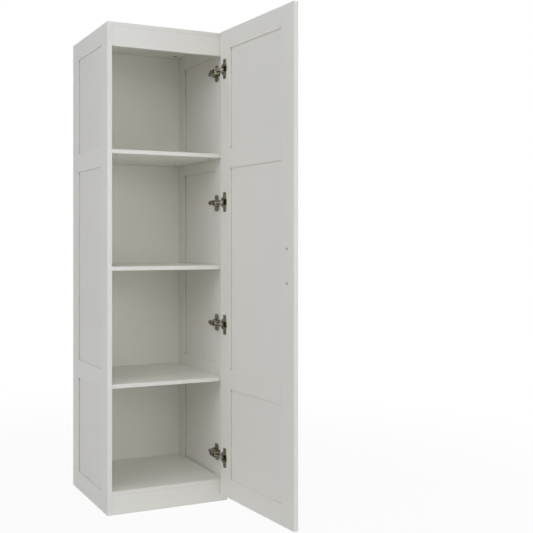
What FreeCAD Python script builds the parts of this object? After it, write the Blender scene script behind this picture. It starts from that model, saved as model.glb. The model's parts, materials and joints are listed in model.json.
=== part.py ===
import FreeCAD, Part
import math
import os

# A tall single-door cupboard: framed sides and door, three shelves, four concealed cup hinges.
# Millimetres. X runs across from the middle, Y back from the carcass front, Z up from the floor.
# The door stands open at rest.

Vector = FreeCAD.Vector
origin = Vector(0, 0, 0)
up = Vector(0, 0, 1)
to_right = Vector(1, 0, 0)
to_back = Vector(0, 1, 0)

# ---- overall sizes ----
cupboard_width = 400.0
cupboard_height = 1480.0
carcass_depth = 360.0

# ---- board thicknesses ----
frame_board = 15.0
shelf_board = 12.0
back_board = 5.0
infill_panel = 5.0
edge_ease = 0.5

# ---- stiles, rails and their grooves ----
stile_width = 60.0
rail_height = 60.0
side_lower_rail = 370.0
side_upper_rail = 1050.0
door_lower_rail = 364.0
door_upper_rail = 1048.0
infill_groove_depth = 8.0
groove_side_gap = 0.1
groove_end_gap = 0.5

# ---- inside the carcass ----
plinth_height = 58.0
fascia_height = 60.0
shelf_tops = {"lower_shelf": 391.0, "middle_shelf": 745.0, "upper_shelf": 1098.0}
back_inset = 8.0
back_groove_depth = 6.0
shelf_back_gap = 0.5

# ---- dowels and cam fittings ----
dowel_radius = 3.0
dowel_length = 28.0
dowel_side_depth = 9.5
bore_end_gap = 0.5
bore_gap = 0.05
dowel_front_inset = 22.0
dowel_rear_inset = 27.0
strip_dowel_inset = 15.0
cam_radius = 6.0
cam_height = 9.0
cam_from_end = 28.5
cam_front_inset = 44.0
cam_rear_inset = 42.0
cam_bolt_radius = 2.0
cam_thread_radius = 2.5
cam_thread_length = 9.5
cam_slot_width = 1.2
cam_slot_depth = 1.5

# ---- door ----
door_reveal = 1.0
door_gap = 2.0
door_bottom = 26.0
door_top_drop = 1.0
open_angle = 94.0

# ---- handle ----
handle_from_edge = 32.0
handle_height = 752.5
handle_centres = 96.0
handle_length = 134.0
handle_end_width = 14.6
handle_waist_width = 7.6
handle_standoff = 15.5
handle_thickness = 6.5
handle_screw_radius = 2.0
handle_screw_head_radius = 3.8
handle_screw_head = 2.2
handle_screw_slot = 1.0
handle_tip = 1.0
handle_screw_bite = 4.5

# ---- hinges: places up the door ----
hinge_end_distance = 119.5
hinge_middle_half_spacing = 191.5

# ---- hinges: pivots, from the side's inner face and front edge or the door's edge and inner face ----
long_pivot_inboard = 25.0
long_pivot_back = 5.3
short_pivot_inboard = 16.0
short_pivot_back = -3.0
long_cup_pivot_from_edge = 9.0
long_cup_pivot_depth = 2.3
short_cup_pivot_from_edge = 8.9
short_cup_pivot_depth = 4.6
long_link_share = -0.53
short_link_share = -0.70

# ---- hinges: cup ----
cup_from_edge = 21.5
cup_radius = 17.4
cup_depth = 12.5
cup_floor = 0.7
cup_bore_gap = 0.1
cup_flange_radius = 18.6
cup_flange = 1.0
cup_wing_half_height = 31.0
cup_wing_width = 18.0
cup_screw_offset = 5.0
cup_screw_half_spacing = 24.0
pocket_half_height = 9.0
pocket_near = 6.4
pocket_far = 35.6
pocket_link_half_height = 6.8
pocket_link_far = 10.0
lug_inner = 3.2
lug_outer = 4.2
lug_half_width = 2.0
lug_root = 0.5
lug_foot = 0.1

# ---- hinges: links and pins ----
pin_radius = 1.0
pin_gap = 0.06
open_pivot_gap = 0.3
pivot_eye_radius = 2.0
long_link_half_height = 2.5
long_link_half_width = 1.5
long_link_crank_height = 4.1
long_link_crank_start = 0.8
long_link_crank_end = 9.0
short_link_inner = 4.8
short_link_outer = 6.2
short_link_half_width = 1.0
short_link_crank_height = 5.6
short_link_crank_start = 0.9
short_link_crank_end = 10.0
pin_end_reach = 1.5
short_pin_inset = 0.2

# ---- hinges: arm and mounting plate ----
arm_cheek_inner = 7.0
arm_cheek_outer = 8.2
arm_web_inboard = 28.0
arm_rear_inboard = 18.5
arm_sheet = 1.2
arm_web_front = 3.0
arm_ramp_start = 38.0
arm_ramp_end = 52.0
arm_end = 66.0
arm_end_drop = 4.0
arm_cheek_front = 24.0
arm_cheek_rear = 61.0
arm_nose_radius = 3.1
plate_base = 3.0
plate_wing_centre = 42.0
plate_wing_width = 21.0
plate_wing_half_height = 26.0
plate_body_front = 18.0
plate_body_end = 66.0
plate_body_half_height = 9.0
plate_block_half_height = 6.0
plate_block_height = 14.0
plate_block_front = 27.0
plate_block_end = 63.0
plate_screw_half_spacing = 16.0
arm_front_screw = 31.0
arm_rear_screw = 59.0
arm_screw_radius = 2.0
arm_screw_head_radius = 3.6
arm_screw_head = 1.6
arm_screw_end_gap = 1.0
wood_screw_radius = 1.75
wood_screw_head_radius = 3.5
wood_screw_head = 1.6
wood_screw_bite = 11.0
screw_cross_width = 0.9
screw_cross_depth = 1.0

# ---- hinges: closing spring ----
spring_wire_radius = 0.45
spring_coil_radius = 2.1
spring_turns = 3
spring_turn_gap = 0.05
spring_start = 3.2

# ---- worked out from the sizes above ----
half_width = cupboard_width / 2
inner_half = half_width - frame_board
inner_face = inner_half
top_under = cupboard_height - shelf_board
floor_top = plinth_height + shelf_board
back_front = carcass_depth - back_inset - back_board
door_half = half_width - door_reveal
door_width = 2 * door_half
door_top = cupboard_height - door_top_drop
door_edge = door_half
door_inner = -door_gap
door_middle = (door_bottom + door_top) / 2
hinge_heights = (
    door_bottom + hinge_end_distance,
    door_middle - hinge_middle_half_spacing,
    door_middle + hinge_middle_half_spacing,
    door_top - hinge_end_distance,
)
long_arm_pivot = Vector(inner_face - long_pivot_inboard, long_pivot_back, 0)
short_arm_pivot = Vector(inner_face - short_pivot_inboard, short_pivot_back, 0)
arm_screw_inboards = {arm_front_screw: arm_web_inboard, arm_rear_screw: arm_rear_inboard}
long_cup_pivot = Vector(door_edge - long_cup_pivot_from_edge, door_inner - long_cup_pivot_depth, 0)
short_cup_pivot = Vector(door_edge - short_cup_pivot_from_edge, door_inner - short_cup_pivot_depth, 0)

nodes = {}


def box(x_range, y_range, z_range):
    corner = Vector(x_range[0], y_range[0], z_range[0])
    return Part.makeBox(x_range[1] - x_range[0], y_range[1] - y_range[0], z_range[1] - z_range[0], corner)


def eased(block):
    # a board with every arris taken off
    return block.makeChamfer(edge_ease, block.Edges)


def rod(radius, start, direction, length):
    return Part.makeCylinder(radius, length, start, direction)


def span(middle, half):
    return (middle - half, middle + half)


def raised(shapes, height):
    # copies of the shapes, lifted by a height
    copies = []
    for shape in shapes:
        copy = shape.copy()
        copy.translate(Vector(0, 0, height))
        copies.append(copy)
    return copies


def turned(shape, centre, angle):
    copy = shape.copy()
    copy.rotate(centre, up, angle)
    return copy


# ---- framed leaves: two stiles, four rails and three infill panels ----

def framed_leaf(width, bottom, top, lower_rail, upper_rail):
    # the leaf lies along +X from 0 to its width, its thickness along +Y
    middle = frame_board / 2
    groove_y = span(middle, infill_panel / 2 + groove_side_gap)
    panel_y = span(middle, infill_panel / 2)
    stile_edges = (stile_width, width - stile_width)
    tongue = infill_groove_depth - groove_end_gap
    tongue_x = (stile_edges[0] - tongue, stile_edges[1] + tongue)

    first_stile = eased(box((0, stile_width), (0, frame_board), (bottom, top)))
    first_groove_x = (stile_edges[0] - infill_groove_depth, stile_edges[0])
    second_stile = eased(box((stile_edges[1], width), (0, frame_board), (bottom, top)))
    second_groove_x = (stile_edges[1], stile_edges[1] + infill_groove_depth)
    leaf = {
        "first_stile": first_stile.cut(box(first_groove_x, groove_y, (bottom, top))),
        "second_stile": second_stile.cut(box(second_groove_x, groove_y, (bottom, top))),
    }

    rail_bottoms = {
        "bottom_rail": bottom,
        "lower_rail": lower_rail,
        "upper_rail": upper_rail,
        "top_rail": top - rail_height,
    }
    for name, rail_bottom in rail_bottoms.items():
        rail_z = (rail_bottom, rail_bottom + rail_height)
        rail = eased(box(stile_edges, (0, frame_board), rail_z))
        rail = rail.fuse(box(tongue_x, panel_y, rail_z)).removeSplitter()
        if name != "bottom_rail":
            rail = rail.cut(box(tongue_x, groove_y, (rail_z[0], rail_z[0] + infill_groove_depth)))
        if name != "top_rail":
            rail = rail.cut(box(tongue_x, groove_y, (rail_z[1] - infill_groove_depth, rail_z[1])))
        leaf[name] = rail

    openings = {
        "bottom_panel": (bottom + rail_height, lower_rail),
        "middle_panel": (lower_rail + rail_height, upper_rail),
        "top_panel": (upper_rail + rail_height, top - rail_height),
    }
    for name, (low, high) in openings.items():
        leaf[name] = box(tongue_x, panel_y, (low - tongue, high + tongue))
    return leaf


def side_leaf(outer_x):
    # a side: the leaf turned so that its length runs back and its thickness across
    leaf = framed_leaf(carcass_depth, 0, cupboard_height, side_lower_rail, side_upper_rail)
    for name in leaf:
        leaf[name] = turned(leaf[name], origin, 90)
        leaf[name].translate(Vector(outer_x, 0, 0))
    leaf["front_stile"] = leaf.pop("first_stile")
    leaf["rear_stile"] = leaf.pop("second_stile")
    return leaf


sides = {"left_side": side_leaf(-inner_half), "right_side": side_leaf(half_width)}


# ---- boards between the sides ----

back_groove_y = (back_front - groove_side_gap, back_front + back_board + groove_side_gap)
back_tongue = back_groove_depth - groove_end_gap
board_x = span(0, inner_half)

top_board = eased(box(board_x, (0, carcass_depth), (top_under, cupboard_height)))
top_board = top_board.cut(box(board_x, back_groove_y, (top_under, top_under + back_groove_depth)))
floor_board = eased(box(board_x, (0, carcass_depth), (plinth_height, floor_top)))
floor_board = floor_board.cut(box(board_x, back_groove_y, (floor_top - back_groove_depth, floor_top)))
fascia = eased(box(board_x, (0, frame_board), (top_under - fascia_height, top_under)))
plinth = eased(box(board_x, (0, frame_board), (0, plinth_height)))
nodes["back_panel"] = box(
    span(0, inner_half + back_tongue),
    (back_front, back_front + back_board),
    (floor_top - back_tongue, top_under + back_tongue),
)

for side_name, leaf in sides.items():
    sign = -1 if side_name == "left_side" else 1
    deepest = sign * (inner_half + back_groove_depth)
    groove_x = tuple(sorted((sign * inner_half, deepest)))
    groove_z = (floor_top - back_groove_depth, top_under + back_groove_depth)
    leaf["rear_stile"] = leaf["rear_stile"].cut(box(groove_x, back_groove_y, groove_z))

shelves = {}
for shelf_name, shelf_top in shelf_tops.items():
    shelf_y = (0, back_front - shelf_back_gap)
    shelves[shelf_name] = eased(box(board_x, shelf_y, (shelf_top - shelf_board, shelf_top)))


# ---- dowels and cam fittings ----

def drill(piece, start, direction, radius, length):
    return piece.cut(rod(radius + bore_gap, start, direction, length + bore_end_gap))


top_middle = top_under + shelf_board / 2
floor_middle = plinth_height + shelf_board / 2
front_dowel_y = dowel_front_inset
rear_dowel_y = carcass_depth - dowel_rear_inset
strip_y = frame_board / 2
dowel_places = {
    "top": [(front_dowel_y, top_middle), (rear_dowel_y, top_middle)],
    "floor": [(front_dowel_y, floor_middle), (rear_dowel_y, floor_middle)],
    "fascia": [
        (strip_y, top_under - fascia_height + strip_dowel_inset),
        (strip_y, top_under - strip_dowel_inset),
    ],
    "plinth": [(strip_y, strip_dowel_inset), (strip_y, plinth_height - strip_dowel_inset)],
}
boards = {"top": top_board, "floor": floor_board, "fascia": fascia, "plinth": plinth}
boards.update(shelves)


def stile_at(y):
    return "front_stile" if y < carcass_depth / 2 else "rear_stile"


dowels = []
for board_name, places in dowel_places.items():
    for y, z in places:
        for side_name, sign in (("left_side", -1), ("right_side", 1)):
            leaf = sides[side_name]
            joint = Vector(sign * inner_half, y, z)
            outward = to_right * sign
            inward = outward * -1
            stile = stile_at(y)
            leaf[stile] = drill(leaf[stile], joint, outward, dowel_radius, dowel_side_depth)
            board_depth = dowel_length - dowel_side_depth
            boards[board_name] = drill(boards[board_name], joint, inward, dowel_radius, board_depth)
            dowels.append(rod(dowel_radius, joint + outward * dowel_side_depth, inward, dowel_length))
nodes["dowels"] = dowels

cam_bolts = []
cam_locks = []
cam_faces = {"top": top_under, "floor": plinth_height}
for shelf_name, shelf_top in shelf_tops.items():
    cam_faces[shelf_name] = shelf_top - shelf_board
for board_name, face_z in cam_faces.items():
    z = face_z + shelf_board / 2
    for y in (cam_front_inset, carcass_depth - cam_rear_inset):
        for side_name, sign in (("left_side", -1), ("right_side", 1)):
            leaf = sides[side_name]
            joint = Vector(sign * inner_half, y, z)
            outward = to_right * sign
            inward = outward * -1
            centre = Vector(sign * (inner_half - cam_from_end), y, face_z)
            pocket = rod(cam_radius + bore_gap, centre, up, cam_height + bore_end_gap)
            shaft = rod(cam_bolt_radius + bore_gap, joint, inward, cam_from_end)
            boards[board_name] = boards[board_name].cut(pocket).cut(shaft)
            slot_z = (face_z, face_z + cam_slot_depth)
            slot = box(span(centre.x, cam_radius / 2), span(y, cam_slot_width / 2), slot_z)
            slot = slot.fuse(box(span(centre.x, cam_slot_width / 2), span(y, cam_radius / 2), slot_z))
            cam_locks.append(rod(cam_radius, centre, up, cam_height).cut(shaft).cut(slot))
            stile = stile_at(y)
            leaf[stile] = drill(leaf[stile], joint, outward, cam_thread_radius, cam_thread_length)
            bolt = rod(cam_bolt_radius, joint, inward, cam_from_end - bore_end_gap)
            cam_bolts.append(bolt.fuse(rod(cam_thread_radius, joint, outward, cam_thread_length)))
nodes["cam_bolts"] = cam_bolts
nodes["cam_locks"] = cam_locks


# ---- door, modelled closed and swung open afterwards ----

door_leaf = framed_leaf(door_width, door_bottom, door_top, door_lower_rail, door_upper_rail)
for name in door_leaf:
    door_leaf[name].translate(Vector(-door_half, door_inner - frame_board, 0))
door_leaf["handle_stile"] = door_leaf.pop("first_stile")
door_leaf["hinge_stile"] = door_leaf.pop("second_stile")
door_outer = door_inner - frame_board


# ---- handle: an arched pull with broad ends, flat where it meets the door ----

handle_x = -door_half + handle_from_edge


def handle_section(z, stand, half_across, half_thick, slope):
    # an ellipse across the pull, square to the pull's line
    wire_plane = Part.Ellipse(origin, max(half_across, half_thick), min(half_across, half_thick))
    section = Part.Wire(wire_plane.toShape())
    if half_thick > half_across:
        section.rotate(origin, up, 90)
    section.rotate(origin, to_right, slope)
    section.translate(Vector(handle_x, door_outer - stand, handle_height + z))
    return section


def arched_handle():
    half_length = handle_length / 2
    half_centres = handle_centres / 2
    end_half = handle_end_width / 2
    waist_half = handle_waist_width / 2
    half_thick = handle_thickness / 2
    # place up the pull, stand-off, half width, half thickness
    upper = (
        (0.0, handle_standoff, waist_half, half_thick),
        (0.35 * half_centres, 0.93 * handle_standoff, waist_half * 1.05, half_thick),
        (0.68 * half_centres, 0.70 * handle_standoff, waist_half * 1.25, half_thick * 1.05),
        (0.92 * half_centres, 0.38 * handle_standoff, end_half * 0.85, half_thick * 1.25),
        (0.5 * (half_centres + half_length), 0.09 * handle_standoff, end_half, half_thick * 1.2),
        (half_length - handle_tip, 0.0, end_half * 0.55, half_thick * 0.6),
    )
    lower = [(-z, stand, across, thick) for z, stand, across, thick in reversed(upper[1:])]
    stations = lower + list(upper)
    sections = []
    for index, (z, stand, across, thick) in enumerate(stations):
        before = stations[max(index - 1, 0)]
        after = stations[min(index + 1, len(stations) - 1)]
        lean = math.degrees(math.atan2(after[1] - before[1], after[0] - before[0]))
        sections.append(handle_section(z, stand, across, thick, lean))
    pull = Part.makeLoft(sections, True)
    keep = box(
        span(handle_x, handle_end_width),
        (door_outer - 2 * handle_standoff, door_outer),
        span(handle_height, half_length + handle_thickness),
    )
    return pull.common(keep)


handle = arched_handle()
handle_screws = []
for z in span(handle_height, handle_centres / 2):
    seat = Vector(handle_x, door_inner, z)
    forward = to_back * -1
    shank_length = frame_board + handle_screw_bite
    handle = drill(handle, seat, forward, handle_screw_radius, shank_length)
    stile = drill(door_leaf["handle_stile"], seat, forward, handle_screw_radius, frame_board)
    door_leaf["handle_stile"] = stile
    screw = rod(handle_screw_radius, seat, forward, shank_length)
    head = rod(handle_screw_head_radius, seat, to_back, handle_screw_head)
    head = head.makeFillet(handle_screw_head * 0.45, [head.Edges[0]])
    slot_y = (door_inner + handle_screw_head / 2, door_inner + handle_screw_head)
    slot = box(span(handle_x, handle_screw_head_radius * 0.55), slot_y, span(z, handle_screw_slot / 2))
    handle_screws.append(screw.fuse(head).cut(slot))


# ---- hinges ----

def wood_screw(seat, direction, head_radius, bite):
    # a screw with a flat countersunk head, its top in the seat plane
    shank = rod(wood_screw_radius, seat, direction, bite)
    head = Part.makeCone(head_radius, wood_screw_radius, wood_screw_head, seat, direction)
    return shank.fuse(head)


def recessed(screw, seat, direction, half_length):
    # cuts a cross recess in a screw head; the screw points along X
    across = tuple(sorted((seat.x, seat.x + direction.x * screw_cross_depth)))
    for half_y, half_z in ((half_length, screw_cross_width / 2), (screw_cross_width / 2, half_length)):
        screw = screw.cut(box(across, span(seat.y, half_y), span(seat.z, half_z)))
    return screw


def bar(start, end, half_width_of_bar, z_range):
    # a flat bar with round ends
    along = end - start
    length = along.Length
    block = box((0, length), span(0, half_width_of_bar), z_range)
    block.rotate(origin, up, math.degrees(math.atan2(along.y, along.x)))
    block.translate(start)
    height = z_range[1] - z_range[0]
    for point in (start, end):
        block = block.fuse(rod(half_width_of_bar, point + up * z_range[0], up, height))
    return block


def cranked_link(cup_pivot, arm_pivot, crank, half_width_of_bar, z_range, cup_hole, arm_hole):
    # a link that rises from its cup pin, runs over the cup's rim and comes down to its arm pin
    start_along, end_along, height = crank
    along = (arm_pivot - cup_pivot).normalize()
    aside = up.cross(along)
    first_bend = cup_pivot + along * start_along + aside * height
    second_bend = cup_pivot + along * end_along + aside * height
    link = bar(cup_pivot, first_bend, half_width_of_bar, z_range)
    link = link.fuse(bar(first_bend, second_bend, half_width_of_bar, z_range))
    link = link.fuse(bar(second_bend, arm_pivot, half_width_of_bar, z_range))
    thickness = z_range[1] - z_range[0]
    for pivot in (cup_pivot, arm_pivot):
        link = link.fuse(rod(pivot_eye_radius, pivot + up * z_range[0], up, thickness))
    link = link.removeSplitter()
    for pivot, hole in ((cup_pivot, cup_hole), (arm_pivot, arm_hole)):
        link = link.cut(rod(hole, pivot + up * z_range[0], up, thickness))
    return link


def both_sides(inner, outer):
    return ((inner, outer), (-outer, -inner))


def hinge_links():
    running = pin_radius + pin_gap
    loose = pin_radius + open_pivot_gap
    long_crank = (long_link_crank_start, long_link_crank_end, long_link_crank_height)
    short_crank = (short_link_crank_start, short_link_crank_end, short_link_crank_height)
    z_range = span(0, long_link_half_height)
    long_link = cranked_link(
        long_cup_pivot, long_arm_pivot, long_crank, long_link_half_width, z_range, running, running
    )
    short_links = []
    half_bar = short_link_half_width
    for z_range in both_sides(short_link_inner, short_link_outer):
        short_links.append(
            cranked_link(short_cup_pivot, short_arm_pivot, short_crank, half_bar, z_range, loose, running)
        )
    return [long_link], short_links


def hinge_plate():
    # a cross-shaped base with a raised block that the arm clips over
    base_x = (inner_face - plate_base, inner_face)
    wings = box(base_x, span(plate_wing_centre, plate_wing_width / 2), span(0, plate_wing_half_height))
    wing_edges = [edge for edge in wings.Edges if abs(edge.tangentAt(0).x) > 0.9]
    wings = wings.makeFillet(plate_wing_width * 0.3, wing_edges)
    body = box(base_x, (plate_body_front, plate_body_end), span(0, plate_body_half_height))
    block_x = (inner_face - plate_block_height, inner_face - plate_base)
    block = box(block_x, (plate_block_front, plate_block_end), span(0, plate_block_half_height))
    plate = wings.fuse(body).fuse(block).removeSplitter()
    for y in arm_screw_inboards:
        seat = Vector(inner_face - plate_block_height, y, 0)
        depth = plate_block_height - plate_base / 2
        plate = plate.cut(rod(arm_screw_radius + bore_gap, seat, to_right, depth))
    for z in span(0, plate_screw_half_spacing):
        seat = Vector(inner_face - plate_base, plate_wing_centre, z)
        hole = wood_screw_radius + bore_gap
        sink = wood_screw_head_radius + bore_gap
        plate = plate.cut(rod(hole, seat, to_right, plate_base))
        plate = plate.cut(Part.makeCone(sink, hole, wood_screw_head, seat, to_right))
    return plate


def hinge_arm():
    # a folded channel: a stepped web towards the inside and two cheeks that hold the arm pins
    high = inner_face - arm_web_inboard
    low = inner_face - arm_rear_inboard
    foot = inner_face - plate_base
    web_line = (
        (high, arm_web_front),
        (high, arm_ramp_start),
        (low, arm_ramp_end),
        (low, arm_end),
    )
    inner_line = [Vector(x, y, 0) for x, y in web_line]
    outer_line = [Vector(x - arm_sheet, y, 0) for x, y in web_line]
    web_outline = inner_line + outer_line[::-1]
    web = Part.Face(Part.makePolygon(web_outline + [web_outline[0]])).extrude(up * 2 * arm_cheek_outer)
    web.translate(up * -arm_cheek_outer)
    trim = box((high - 2 * arm_sheet, foot), (arm_web_front, arm_end), span(0, arm_cheek_outer))
    trim_corners = [edge for edge in trim.Edges if abs(edge.tangentAt(0).x) > 0.9]
    web = web.common(trim.makeFillet(arm_cheek_outer * 0.4, trim_corners))
    nose_left = short_arm_pivot + Vector(-arm_nose_radius, 0, 0)
    nose_right = short_arm_pivot + Vector(arm_nose_radius, 0, 0)
    outline = [
        Vector(low - arm_sheet, arm_end - arm_cheek_outer * 0.4, 0),
        Vector(low + arm_end_drop, arm_end, 0),
        Vector(foot, arm_cheek_rear, 0),
        Vector(foot, arm_cheek_front, 0),
        Vector(inner_face - plate_block_height * 0.6, arm_cheek_front * 0.75, 0),
        nose_right,
        nose_left,
        Vector(high - arm_sheet, arm_web_front + arm_cheek_outer * 0.4, 0),
        Vector(high - arm_sheet, arm_ramp_start, 0),
        Vector(low - arm_sheet, arm_ramp_end, 0),
    ]
    arm = web
    for z_range in both_sides(arm_cheek_inner, arm_cheek_outer):
        thickness = z_range[1] - z_range[0]
        cheek = Part.Face(Part.makePolygon(outline + [outline[0]])).extrude(up * thickness)
        cheek.translate(up * z_range[0])
        nose = rod(arm_nose_radius, short_arm_pivot + up * z_range[0], up, thickness)
        arm = arm.fuse(cheek).fuse(nose)
    arm = arm.removeSplitter()
    for y, inboard in arm_screw_inboards.items():
        seat = Vector(inner_face - inboard - arm_sheet, y, 0)
        arm = arm.cut(rod(arm_screw_radius + bore_gap, seat, to_right, arm_sheet))
    for pivot in (long_arm_pivot, short_arm_pivot):
        arm = arm.cut(rod(pin_radius + bore_gap, pivot - up * arm_cheek_outer, up, 2 * arm_cheek_outer))
    return arm


def hinge_arm_pins():
    head = arm_sheet / 2
    reach = arm_cheek_outer + head
    pins = [rod(pin_radius, long_arm_pivot - up * reach, up, 2 * reach)]
    for z_range in both_sides(short_link_inner - short_pin_inset, reach):
        pins.append(rod(pin_radius, short_arm_pivot + up * z_range[0], up, z_range[1] - z_range[0]))
    return pins


def hinge_arm_screws():
    screws = []
    for y, inboard in arm_screw_inboards.items():
        web_outer = inner_face - inboard - arm_sheet
        seat = Vector(web_outer, y, 0)
        shank_end = inner_face - plate_base
        screw = rod(arm_screw_radius, seat, to_right, shank_end - web_outer - arm_screw_end_gap)
        screw = screw.fuse(rod(arm_screw_head_radius, seat, to_right * -1, arm_screw_head))
        outer = Vector(web_outer - arm_screw_head, y, 0)
        screws.append(recessed(screw, outer, to_right, arm_screw_head_radius * 0.7))
    return screws


def hinge_spring():
    # a torsion coil round the long link's arm pin
    pitch = 2 * spring_wire_radius + spring_turn_gap
    helix = Part.makeHelix(pitch, pitch * spring_turns, spring_coil_radius)
    start = Vector(spring_coil_radius, 0, 0)
    section = Part.Wire(Part.makeCircle(spring_wire_radius, start, to_back))
    coil = Part.Wire(helix.Edges).makePipeShell([section], True, True)
    coil.translate(long_arm_pivot + up * spring_start)
    return coil


def hinge_cup():
    # a round cup with a pocket for the links and a winged flange on the door's inner face
    face = door_inner
    centre_x = door_edge - cup_from_edge
    centre = Vector(centre_x, face, 0)
    forward = to_back * -1
    cup = rod(cup_radius, centre, forward, cup_depth)
    flange = rod(cup_flange_radius, centre, to_back, cup_flange)
    wing_x = centre_x - cup_screw_offset
    wing = box(span(wing_x, cup_wing_width / 2), (face, face + cup_flange), span(0, cup_wing_half_height))
    wing_corners = [edge for edge in wing.Edges if abs(edge.tangentAt(0).y) > 0.9]
    wing = wing.makeFillet(cup_wing_width * 0.35, wing_corners)
    cup = cup.fuse(flange).fuse(wing).removeSplitter()
    pocket_y = (face - cup_depth + cup_floor, face + cup_flange)

    def pocket(near, far, half):
        return box((door_edge - far, door_edge - near), pocket_y, span(0, half))

    cup = cup.cut(pocket(pocket_link_far, pocket_far, pocket_half_height))
    cup = cup.cut(pocket(pocket_near, pocket_link_far, pocket_link_half_height))
    notch_y = (face, face + cup_flange)
    cup = cup.cut(box((door_edge - pocket_near, door_edge), notch_y, span(0, pocket_link_half_height)))
    lug_x = (long_cup_pivot.x - lug_half_width, door_edge - pocket_near + lug_root)
    lug_y = (face - cup_depth + cup_floor - lug_foot, long_cup_pivot.y + lug_half_width)
    for z_range in both_sides(lug_inner, lug_outer):
        cup = cup.fuse(box(lug_x, lug_y, z_range))
    cup = cup.removeSplitter()
    cup = cup.cut(rod(pin_radius + bore_gap, long_cup_pivot - up * lug_outer, up, 2 * lug_outer))
    for z_range in both_sides(pocket_link_half_height, pocket_half_height + pin_end_reach + bore_end_gap):
        start = short_cup_pivot + up * z_range[0]
        cup = cup.cut(rod(pin_radius + bore_gap, start, up, z_range[1] - z_range[0]))
    for z in span(0, cup_screw_half_spacing):
        seat = Vector(wing_x, face + cup_flange, z)
        cup = cup.cut(rod(wood_screw_radius + bore_gap, seat, forward, cup_flange))
    return cup


def hinge_cup_pins():
    pins = [rod(pin_radius, long_cup_pivot - up * lug_outer, up, 2 * lug_outer)]
    for z_range in both_sides(short_link_inner - short_pin_inset, pocket_half_height + pin_end_reach):
        pins.append(rod(pin_radius, short_cup_pivot + up * z_range[0], up, z_range[1] - z_range[0]))
    return pins


def hinge_cup_screws():
    # pan heads on the flange
    screws = []
    seat_x = door_edge - cup_from_edge - cup_screw_offset
    for z in span(0, cup_screw_half_spacing):
        seat = Vector(seat_x, door_inner + cup_flange, z)
        screw = rod(wood_screw_radius, seat, to_back * -1, wood_screw_bite + cup_flange)
        head = Part.makeCone(wood_screw_head_radius, wood_screw_radius, wood_screw_head / 2, seat, to_back)
        screws.append(screw.fuse(head))
    return screws


def hinge_plate_screws():
    screws = []
    for z in span(0, plate_screw_half_spacing):
        seat = Vector(inner_face - plate_base, plate_wing_centre, z)
        screw = wood_screw(seat, to_right, wood_screw_head_radius, wood_screw_bite + plate_base)
        screws.append(recessed(screw, seat, to_right, wood_screw_head_radius * 0.6))
    return screws


long_links, short_links = hinge_links()
one_hinge = {
    "hinge_plates": [hinge_plate()],
    "hinge_arms": [hinge_arm()],
    "hinge_arm_pins": hinge_arm_pins(),
    "hinge_arm_screws": hinge_arm_screws(),
    "hinge_springs": [hinge_spring()],
    "hinge_plate_screws": hinge_plate_screws(),
    "hinge_long_links": long_links,
    "hinge_short_links": short_links,
    "hinge_cups": [hinge_cup()],
    "hinge_cup_pins": hinge_cup_pins(),
    "hinge_cup_screws": hinge_cup_screws(),
}
hinges = {}
for name, shapes in one_hinge.items():
    hinges[name] = []
    for height in hinge_heights:
        hinges[name].extend(raised(shapes, height))

cup_x = door_edge - cup_from_edge
side_stile = sides["right_side"]["front_stile"]
hinge_stile = door_leaf["hinge_stile"]
for height in hinge_heights:
    seat = Vector(cup_x, door_inner, height)
    forward = to_back * -1
    hinge_stile = hinge_stile.cut(rod(cup_radius + cup_bore_gap, seat, forward, cup_depth + cup_bore_gap))
    for z in span(height, cup_screw_half_spacing):
        seat = Vector(cup_x - cup_screw_offset, door_inner, z)
        hinge_stile = drill(hinge_stile, seat, forward, wood_screw_radius, wood_screw_bite)
    for z in span(height, plate_screw_half_spacing):
        seat = Vector(inner_face, plate_wing_centre, z)
        side_stile = drill(side_stile, seat, to_right, wood_screw_radius, wood_screw_bite)
sides["right_side"]["front_stile"] = side_stile
door_leaf["hinge_stile"] = hinge_stile


# ---- swing the door and the links to their rest places ----

def swung_by_long_link(point):
    turn = FreeCAD.Rotation(up, long_link_share * open_angle)
    return long_arm_pivot + turn.multVec(point - long_arm_pivot)


door_pivot = swung_by_long_link(long_cup_pivot)


def opened(shape):
    copy = turned(shape, long_cup_pivot, open_angle)
    copy.translate(door_pivot - long_cup_pivot)
    return copy


for name in ("hinge_long_links", "hinge_short_links"):
    pivot = long_arm_pivot if name == "hinge_long_links" else short_arm_pivot
    share = long_link_share if name == "hinge_long_links" else short_link_share
    hinges[name] = [turned(shape, pivot, share * open_angle) for shape in hinges[name]]
for name in ("hinge_cups", "hinge_cup_pins", "hinge_cup_screws"):
    hinges[name] = [opened(shape) for shape in hinges[name]]

for side_name, leaf in sides.items():
    for name, shape in leaf.items():
        nodes[side_name + "_" + name] = shape
for name, shape in door_leaf.items():
    nodes["door_" + name] = opened(shape)
nodes["handle"] = opened(handle)
nodes["handle_screws"] = [opened(shape) for shape in handle_screws]
nodes["top_board"] = boards["top"]
nodes["floor_board"] = boards["floor"]
nodes["fascia"] = boards["fascia"]
nodes["plinth"] = boards["plinth"]
for shelf_name in shelf_tops:
    nodes[shelf_name] = boards[shelf_name]
nodes.update(hinges)


# ---- one STEP file for each node ----

os.makedirs("parts", exist_ok=True)
for name, shapes in nodes.items():
    pieces = shapes if isinstance(shapes, list) else [shapes]
    solids = []
    for piece in pieces:
        solids.extend(piece.Solids)
    whole = solids[0] if len(solids) == 1 else Part.makeCompound(solids)
    whole.exportStep("parts/" + name + ".step")
    print(name, len(solids), "solids,", round(whole.Volume), "mm3")
print("door pivot at rest", round(door_pivot.x, 4), round(door_pivot.y, 4))
print(len(nodes), "nodes")
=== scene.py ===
import json
import math

import bmesh
import bpy
from mathutils import Matrix, Vector


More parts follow.
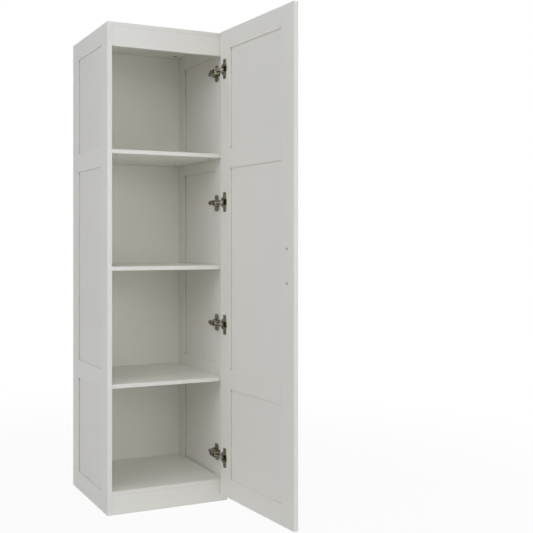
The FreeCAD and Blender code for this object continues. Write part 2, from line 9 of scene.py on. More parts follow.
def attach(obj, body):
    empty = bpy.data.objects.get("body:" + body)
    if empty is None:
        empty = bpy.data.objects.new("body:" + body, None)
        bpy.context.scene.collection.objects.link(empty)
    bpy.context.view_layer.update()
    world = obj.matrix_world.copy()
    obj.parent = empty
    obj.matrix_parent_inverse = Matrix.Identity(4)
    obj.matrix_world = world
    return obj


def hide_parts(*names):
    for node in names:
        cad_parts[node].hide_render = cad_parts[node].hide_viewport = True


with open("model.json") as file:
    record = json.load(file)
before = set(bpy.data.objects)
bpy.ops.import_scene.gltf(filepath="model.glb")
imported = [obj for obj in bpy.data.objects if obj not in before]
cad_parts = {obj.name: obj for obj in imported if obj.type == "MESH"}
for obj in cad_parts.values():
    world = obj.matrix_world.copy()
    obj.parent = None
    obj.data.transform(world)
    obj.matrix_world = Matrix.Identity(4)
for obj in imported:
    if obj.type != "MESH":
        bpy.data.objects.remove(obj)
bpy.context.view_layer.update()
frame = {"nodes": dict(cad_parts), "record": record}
nodes = frame["nodes"]
print("frame loaded,", len(nodes), "nodes")


# small helpers

def linear(hexColour):
    # sRGB hex to linear RGBA
    channels = []
    for start in (1, 3, 5):
        value = int(hexColour[start:start + 2], 16) / 255
        channels.append(value / 12.92 if value <= 0.04045 else ((value + 0.055) / 1.055) ** 2.4)
    return (*channels, 1.0)


def addNode(tree, kind, settings=None, links=None):
    # one node with its settings, its socket values and its incoming links
    # a colour Mix node has its factor at 0, its colours at 6 and 7, and its result at output 2
    node = tree.nodes.new(kind)
    for name, value in (settings or {}).items():
        if isinstance(name, int) or name in node.inputs:
            node.inputs[name].default_value = value
        else:
            setattr(node, name, value)
    for name, source in (links or {}).items():
        tree.links.new(source, node.inputs[name])
    return node


def seenByCamera(tree):
    # 1 for a ray that the camera sends, straight or through a reflection or glass, otherwise 0
    ray = addNode(tree, "ShaderNodeLightPath")
    seen = ray.outputs["Is Camera Ray"]
    for other in ("Is Glossy Ray", "Is Transmission Ray"):
        either = addNode(
            tree, "ShaderNodeMath", {"operation": "MAXIMUM"}, {0: seen, 1: ray.outputs[other]}
        )
        seen = either.outputs[0]
    return seen


def newMaterial(name):
    material = bpy.data.materials.new(name)
    material.use_nodes = True
    tree = material.node_tree
    tree.nodes.clear()
    output = addNode(tree, "ShaderNodeOutputMaterial")
    return material, tree, output


# camera: level, so the uprights stay parallel, with the object left of the middle

camera = {
    "place": (-1.0136, -2.4188, 0.8204),
    "turn": -23.81,  # degrees from looking along +Y; minus turns it towards +X
    "lens": 57.44,  # millimetres, as is the sensor
    "sensor": 36,
    "shift": (0.1529, -0.0467),
    "clipEnd": 50,
}

cameraData = bpy.data.cameras.new("camera")
cameraData.lens = camera["lens"]
cameraData.sensor_width = camera["sensor"]
cameraData.shift_x, cameraData.shift_y = camera["shift"]
cameraData.clip_end = camera["clipEnd"]
cameraObject = bpy.data.objects.new("camera", cameraData)
cameraObject.location = camera["place"]
cameraObject.rotation_euler = (math.radians(90), 0, math.radians(camera["turn"]))
bpy.context.scene.collection.objects.link(cameraObject)
bpy.context.scene.camera = cameraObject
bpy.context.scene.view_settings.view_transform = "Standard"
print("camera set")


# world and lamps

# soft boxes stand around the object and face its middle
# turn is degrees from straight in front (-Y) towards +X, lift is degrees up, power is watts
lampPlan = {
    "front": {"turn": 5, "lift": 2, "power": 19.2, "colour": "#FFF9F8"},
    "frontRight": {"turn": 25, "lift": 2, "power": 18.3, "colour": "#DFEAFF"},
    "right": {"turn": 45, "lift": 2, "power": 13.0, "colour": "#FFFBFF"},
    "left": {"turn": -90, "lift": 2, "power": 21.7, "colour": "#FDFBFF"},
    "frontHigh": {"turn": -20, "lift": 28, "power": 19.3, "colour": "#FFFEFB"},
    "leftHigh": {"turn": -60, "lift": 28, "power": 33.6, "colour": "#F0F2FF"},
    "above": {"turn": 0, "lift": 85, "power": 25, "colour": "#FFFFFF"},
    "behind": {"turn": 140, "lift": 20, "power": 60, "colour": "#F7F9FF"},
}
lampRing = {"middle": (0.0, -0.1, 0.85), "distance": 3.6, "size": 2.2}  # metres
worldLight = {"strength": 0.02, "colour": "#F7F9FF", "backdrop": "#FFFFFF"}

world = bpy.data.worlds.new("studio")
world.use_nodes = True
bpy.context.scene.world = world
tree = world.node_tree
tree.nodes.clear()
lighting = addNode(
    tree, "ShaderNodeBackground",
    {"Color": linear(worldLight["colour"]), "Strength": worldLight["strength"]},
)
backdrop = addNode(
    tree, "ShaderNodeBackground", {"Color": linear(worldLight["backdrop"]), "Strength": 1.0}
)
mixed = addNode(
    tree, "ShaderNodeMixShader", None,
    {0: seenByCamera(tree), 1: lighting.outputs[0], 2: backdrop.outputs[0]},
)
addNode(tree, "ShaderNodeOutputWorld", None, {"Surface": mixed.outputs[0]})

for name, plan in lampPlan.items():
    lampData = bpy.data.lights.new(name, "AREA")
    lampData.shape = "SQUARE"
    lampData.size = lampRing["size"]
    lampData.energy = plan["power"]
    lampData.color = linear(plan["colour"])[:3]
    turn, lift = math.radians(plan["turn"]), math.radians(plan["lift"])
    level = math.cos(lift)
    outward = Vector((math.sin(turn) * level, -math.cos(turn) * level, math.sin(lift)))
    lamp = bpy.data.objects.new(name, lampData)
    lamp.location = Vector(lampRing["middle"]) + outward * lampRing["distance"]
    lamp.rotation_euler = outward.to_track_quat("Z", "Y").to_euler()
    bpy.context.scene.collection.objects.link(lamp)
print("lamps:", ", ".join(lampPlan))


# floor: pale and plain, fading into the white around it

floor = {
    "radius": 8.0, "around": 96, "colour": "#F4F4F2", "middle": (0.0, 0.1),
    # the camera sees this share of plain white near the middle, and only white past fadeTo
    "whiteShare": 0.92, "fadeFrom": 0.7, "fadeTo": 2.2,
}

bm = bmesh.new()
bmesh.ops.create_circle(bm, cap_ends=True, segments=floor["around"], radius=floor["radius"])
floorMesh = bpy.data.meshes.new("floor")
bm.to_mesh(floorMesh)
bm.free()
floorObject = bpy.data.objects.new("floor", floorMesh)
bpy.context.scene.collection.objects.link(floorObject)

material, tree, output = newMaterial("matt white studio floor")
coords = addNode(tree, "ShaderNodeTexCoord")
centred = addNode(
    tree, "ShaderNodeMapping", {"Location": (-floor["middle"][0], -floor["middle"][1], 0)},
    {"Vector": coords.outputs["Object"]},
)
away = addNode(tree, "ShaderNodeVectorMath", {"operation": "LENGTH"}, {0: centred.outputs[0]})
fade = addNode(
    tree, "ShaderNodeMapRange",
    {
        "From Min": floor["fadeFrom"], "From Max": floor["fadeTo"],
        "To Min": floor["whiteShare"], "To Max": 1.0, "interpolation_type": "SMOOTHSTEP",
    },
    {"Value": away.outputs["Value"]},
)
share = addNode(
    tree, "ShaderNodeMath", {"operation": "MULTIPLY"}, {0: seenByCamera(tree), 1: fade.outputs[0]}
)
paint = addNode(tree, "ShaderNodeBsdfDiffuse", {"Color": linear(floor["colour"])})
white = addNode(
    tree, "ShaderNodeEmission", {"Color": linear(worldLight["backdrop"]), "Strength": 1.0}
)
mixed = addNode(
    tree, "ShaderNodeMixShader", None,
    {0: share.outputs[0], 1: paint.outputs[0], 2: white.outputs[0]},
)
tree.links.new(mixed.outputs[0], output.inputs["Surface"])
floorMesh.materials.append(material)
print("floor laid")


# materials

def whiteBoard(name, plan):
    # white board, foiled or painted: faint orange peel, a slow drift of tone, rubbed arrises,
    # painted shade in the joints
    material, tree, output = newMaterial(name)
    place = addNode(tree, "ShaderNodeTexCoord")
    coords = place.outputs["Object"]
    drift = addNode(
        tree, "ShaderNodeTexNoise", {"Scale": 1 / plan["driftSize"], "Detail": 2.0},
        {"Vector": coords},
    )
    tone = addNode(
        tree, "ShaderNodeMix",
        {"data_type": "RGBA", 6: linear(plan["colour"]), 7: linear(plan["shade"])},
        {0: drift.outputs["Fac"]},
    )
    arris = addNode(tree, "ShaderNodeBevel", {"samples": 4, "Radius": plan["arris"]})
    flat = addNode(tree, "ShaderNodeNewGeometry")
    bend = addNode(
        tree, "ShaderNodeVectorMath", {"operation": "DOT_PRODUCT"},
        {0: arris.outputs[0], 1: flat.outputs["Normal"]},
    )
    edge = addNode(
        tree, "ShaderNodeMapRange",
        {
            "From Min": plan["wearRange"][0], "From Max": plan["wearRange"][1],
            "To Min": 0.0, "To Max": plan["wear"],
        },
        {"Value": bend.outputs["Value"]},
    )
    wearAndPaintedShade = addNode(
        tree, "ShaderNodeMix", {"data_type": "RGBA", 7: linear(plan["wornColour"])},
        {0: edge.outputs[0], 6: tone.outputs[2]},
    )
    # painted shade: a thin grey line in the joints, darkest under a rail and faintest on a ledge,
    # as if lit from above
    leaning = addNode(
        tree, "ShaderNodeVectorMath", {"operation": "ADD", 1: (0, 0, plan["nookLean"])},
        {0: flat.outputs["Normal"]},
    )
    leaning = addNode(
        tree, "ShaderNodeVectorMath", {"operation": "NORMALIZE"}, {0: leaning.outputs[0]}
    )
    nook = addNode(
        tree, "ShaderNodeAmbientOcclusion", {"samples": 8, "Distance": plan["nookReach"]},
        {"Normal": leaning.outputs[0]},
    )
    facing = addNode(
        tree, "ShaderNodeVectorMath", {"operation": "ABSOLUTE"}, {0: place.outputs["Normal"]}
    )
    share = addNode(
        tree, "ShaderNodeVectorMath", {"operation": "DOT_PRODUCT", 1: plan["nookShares"]},
        {0: facing.outputs[0]},
    )
    hollow = addNode(
        tree, "ShaderNodeMapRange",
        {"From Min": plan["nookRange"][0], "From Max": plan["nookRange"][1], "To Min": 0.0},
        {"Value": nook.outputs["AO"], "To Max": share.outputs["Value"]},
    )
    wearAndPaintedShade = addNode(
        tree, "ShaderNodeMix", {"data_type": "RGBA", 7: linear(plan["paintedShadeColour"])},
        {0: hollow.outputs[0], 6: wearAndPaintedShade.outputs[2]},
    )
    peel = addNode(
        tree, "ShaderNodeTexNoise", {"Scale": 1 / plan["peelSize"], "Detail": 1.0},
        {"Vector": coords},
    )
    bump = addNode(
        tree, "ShaderNodeBump", {"Strength": plan["peelStrength"], "Distance": plan["peelHeight"]},
        {"Height": peel.outputs["Fac"], "Normal": arris.outputs[0]},
    )
    gloss = addNode(
        tree, "ShaderNodeMapRange",
        {"To Min": plan["roughness"][0], "To Max": plan["roughness"][1]},
        {"Value": drift.outputs["Fac"]},
    )
    shader = addNode(
        tree, "ShaderNodeBsdfPrincipled", {"IOR": 1.5, "Specular IOR Level": plan["specular"]},
        {"Base Color": wearAndPaintedShade.outputs[2], "Roughness": gloss.outputs[0], "Normal": bump.outputs[0]},
    )
    tree.links.new(shader.outputs[0], output.inputs["Surface"])
    return material


def fittingFinish(name, plan):
    # plated, cast, coated or turned fittings: fine marks or grain, slow stains, painted shade in
    # the recesses
    material, tree, output = newMaterial(name)
    coords = addNode(tree, "ShaderNodeTexCoord").outputs["Object"]
    stain = addNode(
        tree, "ShaderNodeTexNoise", {"Scale": 1 / plan["stainSize"], "Detail": 3.0},
        {"Vector": coords},
    )
    tone = addNode(
        tree, "ShaderNodeMix",
        {"data_type": "RGBA", 6: linear(plan["colour"]), 7: linear(plan["stain"])},
        {0: stain.outputs["Fac"]},
    )
    # painted shade: darker in the recesses and corners
    nook = addNode(
        tree, "ShaderNodeAmbientOcclusion", {"samples": 8, "Distance": plan["nookReach"]}
    )
    hollow = addNode(
        tree, "ShaderNodeMapRange",
        {
            "From Min": plan["nookRange"][0], "From Max": plan["nookRange"][1],
            "To Min": 0.0, "To Max": plan["nookShare"],
        },
        {"Value": nook.outputs["AO"]},
    )
    tone = addNode(
        tree, "ShaderNodeMix", {"data_type": "RGBA", 7: linear(plan["paintedShadeColour"])},
        {0: hollow.outputs[0], 6: tone.outputs[2]},
    )
    marks = addNode(
        tree, "ShaderNodeTexNoise", {"Scale": 1 / plan["markSize"], "Detail": 2.0},
        {"Vector": coords},
    )
    arris = addNode(tree, "ShaderNodeBevel", {"samples": 4, "Radius": plan["arris"]})
    bump = addNode(
        tree, "ShaderNodeBump", {"Strength": plan["markStrength"], "Distance": plan["markHeight"]},
        {"Height": marks.outputs["Fac"], "Normal": arris.outputs[0]},
    )
    gloss = addNode(
        tree, "ShaderNodeMapRange",
        {"To Min": plan["roughness"][0], "To Max": plan["roughness"][1]},
        {"Value": marks.outputs["Fac"]},
    )
    shader = addNode(
        tree, "ShaderNodeBsdfPrincipled", {"Metallic": plan["metallic"]},
        {"Base Color": tone.outputs[2], "Roughness": gloss.outputs[0], "Normal": bump.outputs[0]},
    )
    tree.links.new(shader.outputs[0], output.inputs["Surface"])
    return material


# sizes of patterns, heights of bumps and reaches are in metres

# foil-wrapped fibreboard frame: smooth satin white
# the foil lies over the board in faint waves 1.2 mm apart, and its tone drifts over 350 mm
framePlan = {
    "colour": "#F4F3EB", "shade": "#F1F0E8", "driftSize": 0.35,
    # the arrises are rubbed where the rounded normal leaves the flat one by these cosines
    "arris": 0.0006, "wornColour": "#DAD9CF", "wear": 0.35, "wearRange": (0.999, 0.93),
    # the painted shade line's strength on faces that look left or right, front or back, up or down
    "paintedShadeColour": "#9C9A90", "nookShares": (0.05, 0.7, 0.0), "nookReach": 0.01, "nookLean": 0.35,
    "nookRange": (0.8, 0.5),
    "peelSize": 0.0012, "peelStrength": 0.25, "peelHeight": 0.00004,
    "roughness": (0.42, 0.5), "specular": 0.35,
}
# thin infill panel: the same white, a little more matt
infillPlan = dict(
    framePlan, colour="#F3F2EA", shade="#F0EFE7", roughness=(0.48, 0.58),
    nookShares=(0.12, 0.12, 0.0),
)
# melamine board: pearled by its press plate, with bumps 0.8 mm apart
boardPlan = dict(
    framePlan, peelSize=0.0008, peelHeight=0.00006, roughness=(0.4, 0.5),
    nookShares=(0.1, 0.1, 0.1),
)
# painted hardboard back: matt, with its fibres showing as bumps 2 mm apart
backPlan = dict(
    framePlan, colour="#F2F1E8", shade="#EFEEE5", peelSize=0.002, peelHeight=0.00008,
    roughness=(0.6, 0.7), specular=0.25, nookShares=(0.1, 0.1, 0.1),
)

# nickel-plated pressed steel: grey with a warm cast, soft shine
# the marks of tumbling are about 0.1 mm apart, too fine to show, and are drawn 0.8 mm apart
hingePlan = {
    "colour": "#A7A28A", "stain": "#8B8570", "metallic": 1.0, "stainSize": 0.01,
    "markSize": 0.0008, "markStrength": 0.3, "markHeight": 0.00004, "arris": 0.0002,
    "roughness": (0.3, 0.45),
    # painted shade held in the recesses
    "paintedShadeColour": "#2E261A", "nookShare": 0.85, "nookReach": 0.008, "nookRange": (0.85, 0.3),
}
# drawn steel pins: brighter and smoother than the pressings
pinPlan = dict(hingePlan, colour="#B9B5A6", stain="#9B978A", roughness=(0.22, 0.34))
# bright nickel on the links, which rub clean as the door swings, with less painted shade in their
# recesses
linkPlan = dict(
    hingePlan, colour="#DAD5CF", stain="#C3BDB5", roughness=(0.2, 0.32), nookShare=0.3
)
# the hinges' screws: duller nickel
screwPlan = dict(hingePlan, colour="#8A877C", stain="#6E6B62", roughness=(0.32, 0.42))
# the handle's screws: zinc plated, paler than the hinges' own
paleScrewPlan = dict(screwPlan, colour="#C6C6BF", stain="#B4B4AC", nookShare=0.35)
# cast zinc fittings: dark grey, nearly matt
zincPlan = dict(hingePlan, colour="#77776F", stain="#5E5E57", roughness=(0.4, 0.55))
# black powder coat: not metal, an even grain of 0.6 mm from the melted powder
powderPlan = {
    "colour": "#171716", "stain": "#1D1D1B", "metallic": 0.0, "stainSize": 0.03,
    "markSize": 0.0006, "markStrength": 0.5, "markHeight": 0.00006, "arris": 0.0003,
    "roughness": (0.38, 0.5),
    # painted shade in the recesses
    "paintedShadeColour": "#0E0E0E", "nookShare": 0.4, "nookReach": 0.004, "nookRange": (0.85, 0.3),
}
# turned beech: pale brown, with pores 0.6 mm apart
dowelPlan = dict(powderPlan, colour="#C9A77C", stain="#B8946A", roughness=(0.6, 0.75))

finishes = {
    "frame_white": whiteBoard("foil wrapped fibreboard", framePlan),
    "panel_white": whiteBoard("painted thin panel", infillPlan),
    "board_white": whiteBoard("melamine board", boardPlan),
    "back_white": whiteBoard("painted hardboard", backPlan),
    "hinge_steel": fittingFinish("nickel plated pressed steel", hingePlan),
    "link_nickel": fittingFinish("bright nickel plate", linkPlan),
    "pin_steel": fittingFinish("bright drawn steel", pinPlan),
    "screw_steel": fittingFinish("nickel plated screw steel", screwPlan),
    "fitting_zinc": fittingFinish("zinc alloy casting", zincPlan),
    "handle_black": fittingFinish("black powder coat", powderPlan),
    "dowel_beech": fittingFinish("turned beech", dowelPlan),
}
paleScrew = fittingFinish("zinc plated handle screw", paleScrewPlan)
for part in frame["record"]["subparts"]:
    finish = finishes[part["material_slot"]]
    mesh = nodes[part["node"]].data
    mesh.materials.clear()
    mesh.materials.append(paleScrew if part["node"] == "handle_screws" else finish)
print("materials:", ", ".join(finishes))


# new pieces: measured in millimetres from the cupboard's own planes, then brought to metres

mm = 0.001
inside = 185.0  # inner face of the right side
doorBack = -2.0  # inner face of the closed door
doorFront = -17.0  # and its outer face
hingeHeights = (145.5, 561.0, 944.0, 1359.5)
# the open door's turn in degrees, and where its hinges' pivots are with it closed and open
doorSwing = {"angle": 94.0, "closedPivot": (190.0, -4.3), "openPivot": (172.0211, -23.8145)}
nearlyAlong = 0.9  # cosine within which an edge or a face counts as lying along an axis
rimTurn = 1.0  # radians that the faces turn by at a rim

toOpen = (
    Matrix.Translation((*doorSwing["openPivot"], 0))
    @ Matrix.Rotation(math.radians(doorSwing["angle"]), 4, "Z")
    @ Matrix.Translation((-doorSwing["closedPivot"][0], -doorSwing["closedPivot"][1], 0))
)


def once(items):
    # the items in their own order, each one only once
    return list(dict.fromkeys(items))


def onlyVerts(items):
    return [item for item in items if isinstance(item, bmesh.types.BMVert)]


def onlyEdges(items):
    return [item for item in items if isinstance(item, bmesh.types.BMEdge)]


def allOf(bm):
    return bm.verts[:] + bm.edges[:] + bm.faces[:]


def roundOff(bm, geom, radius, segments, affect="EDGES"):
    # rounds edges, or with VERTICES the corners of a flat face
    return bmesh.ops.bevel(
        bm, geom=geom, offset=radius, offset_type="OFFSET", segments=segments, profile=0.5,
        affect=affect, material=-1,
    )


def turnsBy(edge, least, most=math.inf):
    # whether an edge's two faces turn from each other by more than least and less than most
    return len(edge.link_faces) == 2 and least < edge.calc_face_angle() < most


def finishPiece(bm, name, body, slot, replaced, heights=(0.0,), swing=False, creaseAngle=32):
    # copies the mesh to each height, swings it with the open door and hands it over in metres
    first = allOf(bm)
    for height in heights[1:]:
        copied = bmesh.ops.duplicate(bm, geom=first)["geom"]
        bmesh.ops.translate(bm, verts=onlyVerts(copied), vec=(0, 0, height))
    bmesh.ops.translate(bm, verts=onlyVerts(first), vec=(0, 0, heights[0]))
    if swing:
        bmesh.ops.transform(bm, matrix=toOpen, verts=bm.verts)
    bmesh.ops.scale(bm, vec=(mm, mm, mm), verts=bm.verts)
    bmesh.ops.recalc_face_normals(bm, faces=bm.faces)
    mesh = bpy.data.meshes.new(name)
    bm.to_mesh(mesh)
    bm.free()
    mesh.shade_smooth()
    mesh.set_sharp_from_angle(angle=math.radians(creaseAngle))
    mesh.materials.append(finishes[slot])
    piece = bpy.data.objects.new(name, mesh)
    bpy.context.scene.collection.objects.link(piece)
    piece.modifiers.new("flat faces shade flat", "WEIGHTED_NORMAL").keep_sharp = True
    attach(piece, body)
    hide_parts(*replaced)
    print("piece:", name, len(mesh.polygons), "faces")


def addBlock(bm, low, high, corner, axis, rim=0):
    # a pressed block: its edges along one axis rounded, then the rims at both ends of that axis
    made = bmesh.ops.create_cube(bm, size=1)["verts"]
    size = Vector(high) - Vector(low)
    bmesh.ops.scale(bm, vec=size, verts=made)
    bmesh.ops.translate(bm, vec=(Vector(low) + Vector(high)) / 2, verts=made)
    edges = once(edge for vert in made for edge in vert.link_edges)
    upright = [
        edge for edge in edges
        if abs((edge.verts[0].co - edge.verts[1].co).normalized()[axis]) > nearlyAlong
    ]
    rounded = roundOff(bm, upright, corner, segments=5)["faces"]
    faces = once([face for vert in made if vert.is_valid for face in vert.link_faces] + rounded)
    caps = [face for face in faces if abs(face.normal[axis]) > nearlyAlong]
    if rim > 0:
        roundOff(bm, once(edge for face in caps for edge in face.edges), rim, segments=3)


# bow handle: forged oval bar, waisted in the middle, its broad ends flush with the door

bow = {
    "across": -167.0, "height": 752.5, "reach": 66.0, "standOff": 15.5,
    "waist": 3.8, "endHalfWidth": 7.3, "halfThick": 3.25, "rings": 44, "around": 28,
    # where the bar broadens and where its tips round off: start and length, as shares of the reach
    "broaden": (0.2, 0.62), "tip": (0.86, 0.16),
    "tipLeast": 0.05, "endThicker": 0.22,
    "merge": 0.05, "creaseAngle": 50,
}


def bowStation(share):
    # place, lean and half sizes of the bar's oval at a share of its length from -1 to 1
    away = abs(share)
    z = share * bow["reach"]
    rise = bow["standOff"] * (1 - share ** 2) ** 1.5
    slope = -3 * bow["standOff"] * share * (1 - share ** 2) ** 0.5 / bow["reach"]
    start, length = bow["broaden"]
    spread = min(max((away - start) / length, 0), 1)
    spread = spread ** 2 * (3 - 2 * spread)  # eased at both ends
    start, length = bow["tip"]
    tip = max(1 - max((away - start) / length, 0) ** 2, bow["tipLeast"]) ** 0.5
    width = (bow["waist"] + (bow["endHalfWidth"] - bow["waist"]) * spread) * tip
    thick = bow["halfThick"] * (1 + bow["endThicker"] * spread) * tip
    place = Matrix.Translation((bow["across"], doorFront - rise, bow["height"] + z))
    lean = Matrix.Rotation(math.atan(slope), 4, "X")
    return place @ lean @ Matrix.Diagonal((width, thick, 1, 1))


bm = bmesh.new()
station = bowStation(-1)
ring = bmesh.ops.create_circle(
    bm, cap_ends=True, segments=bow["around"], radius=1, matrix=station
)["verts"]
edges = once(edge for vert in ring for edge in vert.link_edges)
for step in range(1, bow["rings"] + 1):
    nextStation = bowStation(-1 + 2 * step / bow["rings"])
    grown = bmesh.ops.extrude_edge_only(bm, edges=edges)["geom"]
    ring, edges = onlyVerts(grown), onlyEdges(grown)
    bmesh.ops.transform(bm, matrix=nextStation @ station.inverted(), verts=ring)
    station = nextStation
bmesh.ops.contextual_create(bm, geom=ring)
bmesh.ops.bisect_plane(
    bm, geom=allOf(bm), plane_co=(0, doorFront, 0), plane_no=(0, 1, 0), clear_outer=True
)
bmesh.ops.remove_doubles(bm, verts=bm.verts, dist=bow["merge"])
bmesh.ops.holes_fill(bm, edges=[edge for edge in bm.edges if edge.is_boundary])
finishPiece(
    bm, "bow_handle", "door", "handle_black", ["handle"], swing=True,
    creaseAngle=bow["creaseAngle"],
)


# hinge arm: one folded channel, stepped down to the plate, its nose round the short link's pin

arm = {
    # the cheek's outline: each point is inboard of the side's inner face and back from its front
    # the web starts at the line's second point
    "line": ((29.2, 6.3), (29.2, 15.0), (29.2, 38.0), (19.7, 52.0), (19.7, 63.0)),
    "foot": ((14.5, 66.0), (3.0, 61.0), (3.0, 24.0), (8.4, 18.0)),
    "nose": ((12.9, -6.1), (19.1, -6.1), (19.1, -3.0)),
    "halfWidth": 8.2, "sheet": 1.1, "noseRound": 2.9, "footRound": 1.5,
    # radii of the folds along the cheeks and of the bends in the web
    "fold": 2.0, "bend": 3.0,
    # an edge that turns by this many radians is a fold or a bend, and a bend runs across the arm
    "foldTurn": 1.2, "bendTurn": 0.3, "bendRun": 0.5,
    "taper": {"from": 24.0, "to": 61.0, "share": 0.75},  # the channel narrows towards its tail
    "merge": 0.001,
}

bm = bmesh.new()
line, foot, nose = (
    [bm.verts.new((inside - inboard, back, arm["halfWidth"])) for inboard, back in arm[part]]
    for part in ("line", "foot", "nose")
)
bm.faces.new(line + foot + nose)
roundOff(bm, nose[:2], arm["noseRound"], segments=6, affect="VERTICES")
roundOff(bm, foot[1:3], arm["footRound"], segments=3, affect="VERTICES")
webEdges = [bm.edges.get(pair) for pair in zip(line[1:], line[2:])]
grown = bmesh.ops.extrude_edge_only(bm, edges=webEdges)["geom"]
bmesh.ops.translate(bm, vec=(0, 0, -arm["halfWidth"]), verts=onlyVerts(grown))
bmesh.ops.mirror(
    bm, geom=allOf(bm), matrix=Matrix.Identity(4), merge_dist=arm["merge"], axis="Z"
)
bmesh.ops.recalc_face_normals(bm, faces=bm.faces)
folds = [edge for edge in bm.edges if turnsBy(edge, arm["foldTurn"])]
roundOff(bm, folds, arm["fold"], segments=4)
bends = [
    edge for edge in bm.edges
    if turnsBy(edge, arm["bendTurn"], arm["foldTurn"])
    and abs(edge.verts[0].co.z - edge.verts[1].co.z) > arm["bendRun"]
]
roundOff(bm, bends, arm["bend"], segments=4)
bmesh.ops.solidify(bm, geom=bm.faces[:], thickness=arm["sheet"])
taper = arm["taper"]
for vert in bm.verts:
    along = min(max((vert.co.y - taper["from"]) / (taper["to"] - taper["from"]), 0), 1)
    vert.co.z *= 1 - along * (1 - taper["share"])
finishPiece(
    bm, "hinge_arm_channels", "carcass", "hinge_steel", ["hinge_arms"], heights=hingeHeights
)


# mounting plate: pressed cross with a raised block that the arm clips over

plate = {
    "base": 3.0, "rim": 0.7,
    "wing": (31.5, 52.5), "wingHalf": 26.0, "wingCorner": 6.0,
    "body": (18.0, 66.0), "bodyHalf": 9.0, "bodyCorner": 3.0, "bodyProud": 0.1,
    "block": (27.0, 63.0), "blockHalf": 4.8, "blockCorner": 2.0,
    "blockTop": 14.0, "blockRim": 1.0, "blockSunk": 1.0,
}

bm = bmesh.new()
face = inside - plate["base"]
(start, end), half = plate["wing"], plate["wingHalf"]
addBlock(
    bm, (face, start, -half), (inside, end, half),
    plate["wingCorner"], axis=0, rim=plate["rim"],
)
(start, end), half = plate["body"], plate["bodyHalf"]
addBlock(
    bm, (face - plate["bodyProud"], start, -half), (inside, end, half),
    plate["bodyCorner"], axis=0, rim=plate["rim"],
)
(start, end), half = plate["block"], plate["blockHalf"]
addBlock(
    bm, (inside - plate["blockTop"], start, -half), (inside - plate["blockSunk"], end, half),
    plate["blockCorner"], axis=0, rim=plate["blockRim"],
)
finishPiece(
    bm, "hinge_mounting_plates", "carcass", "hinge_steel", ["hinge_plates"], heights=hingeHeights
)


# hinge cup: drawn steel bowl let into the door under a winged flange, with a pocket for the links

cup = {
    "middle": 177.5, "flange": 18.6, "flangeAround": 40, "sheet": 1.0, "edge": 0.35,
    "bowl": 17.4, "bowlAround": 60, "depth": 12.5,
    "wing": (163.5, 181.5), "wingHalf": 31.0, "wingCorner": 4.5,
    # start, narrowing and end: it narrows where the short link's pins are held, and the flange
    # is notched past its end
    "pocket": (163.4, 189.0, 192.6), "pocketHalf": 9.0, "narrowHalf": 6.8, "pocketFloor": 11.8,
    # two thin lugs across the narrow part, one above and one below the middle
    "lug": (188.0, 193.1), "lugZ": (3.2, 4.2), "lugTop": 0.3, "lugRound": 1.4,
}


def cupPoint(bm, across, up):
    return bm.verts.new((across, doorBack, up))


def onRim(bm, radius, start, end, steps):
    # points along the cup's rim between two angles, in degrees round from the door's edge
    angles = [math.radians(start + (end - start) * step / steps) for step in range(steps + 1)]
    return [
        cupPoint(bm, cup["middle"] + radius * math.cos(angle), radius * math.sin(angle))
        for angle in angles
    ]


def splitFlat(bm, face, acrossCuts, upCuts):
    # splits a flat face on the door at these places across it and up it
    pieces = [face, *face.edges, *face.verts]
    cuts = [((across, 0, 0), (1, 0, 0)) for across in acrossCuts]
    cuts += [((0, 0, up), (0, 0, 1)) for up in upCuts]
    for point, normal in cuts:
        cut = bmesh.ops.bisect_plane(bm, geom=pieces, plane_co=point, plane_no=normal)
        pieces = cut["geom"]
    return [item for item in pieces if isinstance(item, bmesh.types.BMFace)]


def bothSides(*distances, middle=0.0):
    return [middle + side * distance for distance in distances for side in (-1, 1)]


def overPocket(face, pastEnd):
    # whether a face lies over the pocket, or also over the notch past its end
    middle = face.calc_center_median()
    start, narrow, end = cup["pocket"]
    if pastEnd:
        end = math.inf
    inWide = start < middle.x < narrow and abs(middle.z) < cup["pocketHalf"]
    return inWide or (narrow < middle.x < end and abs(middle.z) < cup["narrowHalf"])


def pushFaces(bm, faces, drop, keepFirst):
    # moves faces in or out of the door with walls behind them; keepFirst leaves them behind too
    grown = bmesh.ops.extrude_face_region(bm, geom=faces)["geom"]
    if not keepFirst:
        bmesh.ops.delete(bm, geom=[face for face in faces if face.is_valid], context="FACES")
    bmesh.ops.translate(bm, vec=(0, drop, 0), verts=onlyVerts(grown))


bm = bmesh.new()
wingAngles = [
    math.degrees(math.acos((across - cup["middle"]) / cup["flange"])) for across in cup["wing"]
]
nearSide = onRim(bm, cup["flange"], -wingAngles[1], wingAngles[1], cup["flangeAround"])
upper = [cupPoint(bm, across, cup["wingHalf"]) for across in cup["wing"][::-1]]
farSide = onRim(
    bm, cup["flange"], wingAngles[0], 360 - wingAngles[0], cup["flangeAround"] // 2
)
lower = [cupPoint(bm, across, -cup["wingHalf"]) for across in cup["wing"]]
bm.faces.new(nearSide + upper + farSide + lower)
roundOff(bm, upper + lower, cup["wingCorner"], segments=6, affect="VERTICES")
bm.faces.ensure_lookup_table()
pocketCuts = (cup["pocket"], bothSides(cup["pocketHalf"], cup["narrowHalf"]))
flange = splitFlat(bm, bm.faces[0], *pocketCuts)
notched = [face for face in flange if overPocket(face, pastEnd=True)]
bmesh.ops.delete(bm, geom=notched, context="FACES")
pushFaces(bm, bm.faces[:], cup["sheet"], keepFirst=True)
bmesh.ops.recalc_face_normals(bm, faces=bm.faces)
halfway = doorBack + cup["sheet"] / 2
rims = [
    edge for edge in bm.edges
    if turnsBy(edge, rimTurn) and all(vert.co.y > halfway for vert in edge.verts)
]
roundOff(bm, rims, cup["edge"], segments=3)

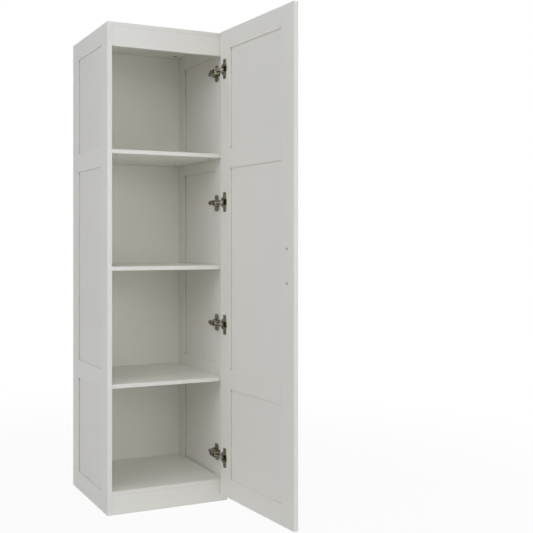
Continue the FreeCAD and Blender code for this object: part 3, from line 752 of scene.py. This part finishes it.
lastAngle = 360 - 360 / cup["bowlAround"]
bowlMouth = bm.faces.new(onRim(bm, cup["bowl"], 0, lastAngle, cup["bowlAround"] - 1))
bowl = splitFlat(bm, bowlMouth, *pocketCuts)
rim = [edge for edge in once(edge for face in bowl for edge in face.edges) if edge.is_boundary]
grown = bmesh.ops.extrude_edge_only(bm, edges=rim)["geom"]
bmesh.ops.translate(bm, vec=(0, -cup["depth"], 0), verts=onlyVerts(grown))
bmesh.ops.contextual_create(bm, geom=onlyEdges(grown))
pocket = [face for face in bowl if overPocket(face, pastEnd=False)]
pushFaces(bm, pocket, -cup["pocketFloor"], keepFirst=False)
lugBottom, lugTop = doorBack - cup["pocketFloor"], doorBack - cup["lugTop"]
(start, end), (near, far) = cup["lug"], cup["lugZ"]
for low, high in ((near, far), (-far, -near)):
    addBlock(bm, (start, lugBottom, low), (end, lugTop, high), cup["lugRound"], axis=2)
finishPiece(
    bm, "hinge_cup_bowls", "door", "hinge_steel", ["hinge_cups"], heights=hingeHeights, swing=True
)


# cup screws: domed heads with a cross recess on the flange's wings, tapered shanks in the door

cupScrew = {
    "across": 172.5, "up": 24.0, "head": 3.5, "headAround": 32, "rise": 1.2, "dome": 0.9,
    "cross": (0.5, 1.9), "crossDeep": 0.9,  # half width and half length of its slots
    "shank": (1.7, 0.8),  # radii at the head and at the tip
    "shankAround": 16, "bite": 11.0,
    "near": 0.01,  # how far under the crown a point still counts as on it
}

bm = bmesh.new()
across = cupScrew["across"]
narrow, wide = cupScrew["cross"]
seat = doorBack + cup["sheet"]
crown = seat + cupScrew["rise"] - cupScrew["near"]
for up in bothSides(cupScrew["up"]):
    placed = Matrix.Translation((across, seat, up)) @ Matrix.Rotation(math.radians(-90), 4, "X")
    disc = bmesh.ops.create_circle(
        bm, cap_ends=True, segments=cupScrew["headAround"], radius=cupScrew["head"], matrix=placed
    )["verts"]
    crossCuts = (bothSides(narrow, wide, middle=across), bothSides(narrow, wide, middle=up))
    base = splitFlat(bm, disc[0].link_faces[0], *crossCuts)
    pushFaces(bm, base, cupScrew["rise"], keepFirst=True)
    bmesh.ops.recalc_face_normals(bm, faces=bm.faces)
    rim = [
        edge for edge in bm.edges
        if turnsBy(edge, rimTurn) and abs(edge.verts[0].co.z - up) < 2 * cupScrew["head"]
        and all(vert.co.y > crown for vert in edge.verts)
    ]
    roundOff(bm, rim, cupScrew["dome"], segments=4)
    cross = []
    for face in bm.faces:
        middle = face.calc_center_median()
        offCentre = sorted((abs(middle.x - across), abs(middle.z - up)))
        if middle.y > crown and offCentre[0] < narrow and offCentre[1] < wide:
            cross.append(face)
    pushFaces(bm, cross, -cupScrew["crossDeep"], keepFirst=False)
    shankMiddle = Matrix.Translation((across, seat - cupScrew["bite"] / 2, up))
    bmesh.ops.create_cone(
        bm, cap_ends=True, segments=cupScrew["shankAround"], radius1=cupScrew["shank"][0],
        radius2=cupScrew["shank"][1], depth=cupScrew["bite"],
        matrix=shankMiddle @ Matrix.Rotation(math.radians(90), 4, "X"),
    )
finishPiece(
    bm, "cup_screws", "door", "screw_steel", ["hinge_cup_screws"], heights=hingeHeights, swing=True
)
